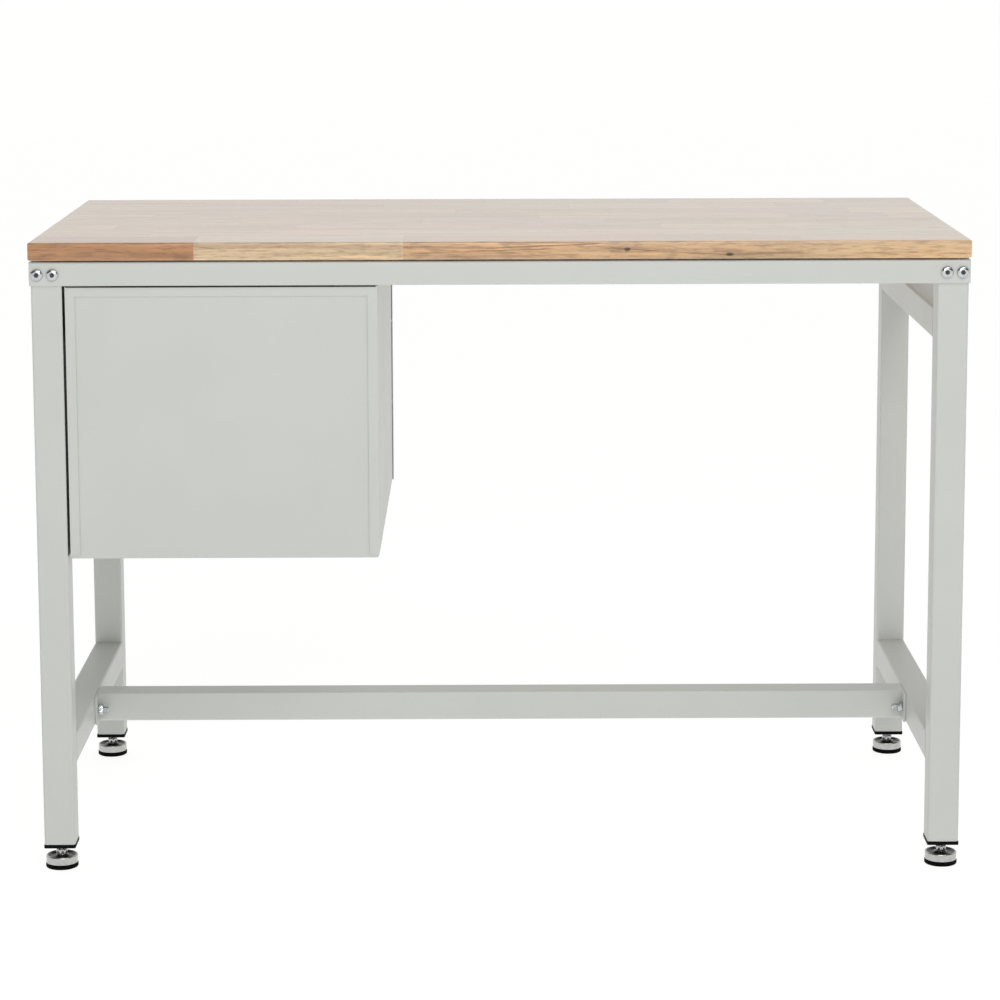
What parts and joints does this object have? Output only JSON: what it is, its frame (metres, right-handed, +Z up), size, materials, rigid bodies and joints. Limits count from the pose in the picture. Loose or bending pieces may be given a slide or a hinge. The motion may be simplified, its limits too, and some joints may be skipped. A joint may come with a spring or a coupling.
{
  "type": "workbench with drawers",
  "caption": "workbench with a hardwood top on a bolted square-tube steel frame, a hanging cabinet of sliding drawers at one end and levelling feet",
  "frame": {"origin": "on the floor, under the middle of the worktop", "axes": "+X along the worktop to the end without the cabinet, +Y from the back to the side that the drawers open to, +Z up"},
  "size_m": [1.2036, 0.6042, 0.8253],
  "materials": {
    "hardwood": "edge-glued finger-jointed staves, clear satin lacquer",
    "grey_powder_coat": "fine light grey powder coat, semi-gloss",
    "zinc_plated_steel": "bright zinc plate",
    "slide_steel": "galvanised rolled steel",
    "black_plastic": "moulded, fine grain",
    "black_rubber": "moulded rubber"
  },
  "bodies": {
    "bench": {"worktop": "hardwood", "leg_back_left": "grey_powder_coat", "leg_back_right": "grey_powder_coat", "leg_front_left": "grey_powder_coat", "leg_front_right": "grey_powder_coat", "upper_cross_rail_left": "grey_powder_coat", "lower_cross_rail_left": "grey_powder_coat", "upper_cross_rail_right": "grey_powder_coat", "lower_cross_rail_right": "grey_powder_coat", "top_rail_back": "grey_powder_coat", "top_rail_front": "grey_powder_coat", "stretcher": "grey_powder_coat", "rail_bolt_back_left_1": "zinc_plated_steel", "rail_bolt_back_left_2": "zinc_plated_steel", "rail_bolt_back_right_1": "zinc_plated_steel", "rail_bolt_back_right_2": "zinc_plated_steel", "rail_bolt_front_left_1": "zinc_plated_steel", "rail_bolt_front_left_2": "zinc_plated_steel", "rail_bolt_front_right_1": "zinc_plated_steel", "rail_bolt_front_right_2": "zinc_plated_steel", "stretcher_bolt_left": "zinc_plated_steel", "stretcher_bolt_right": "zinc_plated_steel", "leg_cap_back_left": "black_plastic", "leg_cap_back_right": "black_plastic", "leg_cap_front_left": "black_plastic", "leg_cap_front_right": "black_plastic", "cabinet_case": "grey_powder_coat", "cabinet_back_and_floor": "grey_powder_coat", "cabinet_hanger_left": "grey_powder_coat", "cabinet_hanger_right": "grey_powder_coat", "drawer_1_slide_left": "slide_steel", "drawer_1_slide_right": "slide_steel", "drawer_2_slide_left": "slide_steel", "drawer_2_slide_right": "slide_steel", "drawer_3_slide_left": "slide_steel", "drawer_3_slide_right": "slide_steel"},
    "drawer_1": {"drawer_1_tray": "grey_powder_coat", "drawer_1_front": "grey_powder_coat", "drawer_1_handle": "zinc_plated_steel", "drawer_1_runner_left": "slide_steel", "drawer_1_runner_right": "slide_steel"},
    "drawer_2": {"drawer_2_tray": "grey_powder_coat", "drawer_2_front": "grey_powder_coat", "drawer_2_handle": "zinc_plated_steel", "drawer_2_runner_left": "slide_steel", "drawer_2_runner_right": "slide_steel"},
    "drawer_3": {"drawer_3_tray": "grey_powder_coat", "drawer_3_front": "grey_powder_coat", "drawer_3_handle": "zinc_plated_steel", "drawer_3_runner_left": "slide_steel", "drawer_3_runner_right": "slide_steel"},
    "levelling_foot_back_left": {"foot_back_left": "zinc_plated_steel", "foot_pad_back_left": "black_rubber"},
    "levelling_foot_back_right": {"foot_back_right": "zinc_plated_steel", "foot_pad_back_right": "black_rubber"},
    "levelling_foot_front_left": {"foot_front_left": "zinc_plated_steel", "foot_pad_front_left": "black_rubber"},
    "levelling_foot_front_right": {"foot_front_right": "zinc_plated_steel", "foot_pad_front_right": "black_rubber"}
  },
  "joints": [
    {"name": "drawer_1_pull", "type": "slide", "parent": "bench", "child": "drawer_1", "axis": [0, 1, 0], "range_m": [0, 0.4]},
    {"name": "drawer_2_pull", "type": "slide", "parent": "bench", "child": "drawer_2", "axis": [0, 1, 0], "range_m": [0, 0.4]},
    {"name": "drawer_3_pull", "type": "slide", "parent": "bench", "child": "drawer_3", "axis": [0, 1, 0], "range_m": [0, 0.4]},
    {"name": "foot_back_left_height", "type": "slide", "parent": "bench", "child": "levelling_foot_back_left", "axis": [0, 0, 1], "range_m": [-0.015, 0]},
    {"name": "foot_back_right_height", "type": "slide", "parent": "bench", "child": "levelling_foot_back_right", "axis": [0, 0, 1], "range_m": [-0.015, 0]},
    {"name": "foot_front_left_height", "type": "slide", "parent": "bench", "child": "levelling_foot_front_left", "axis": [0, 0, 1], "range_m": [-0.015, 0]},
    {"name": "foot_front_right_height", "type": "slide", "parent": "bench", "child": "levelling_foot_front_right", "axis": [0, 0, 1], "range_m": [-0.015, 0]}
  ]
}
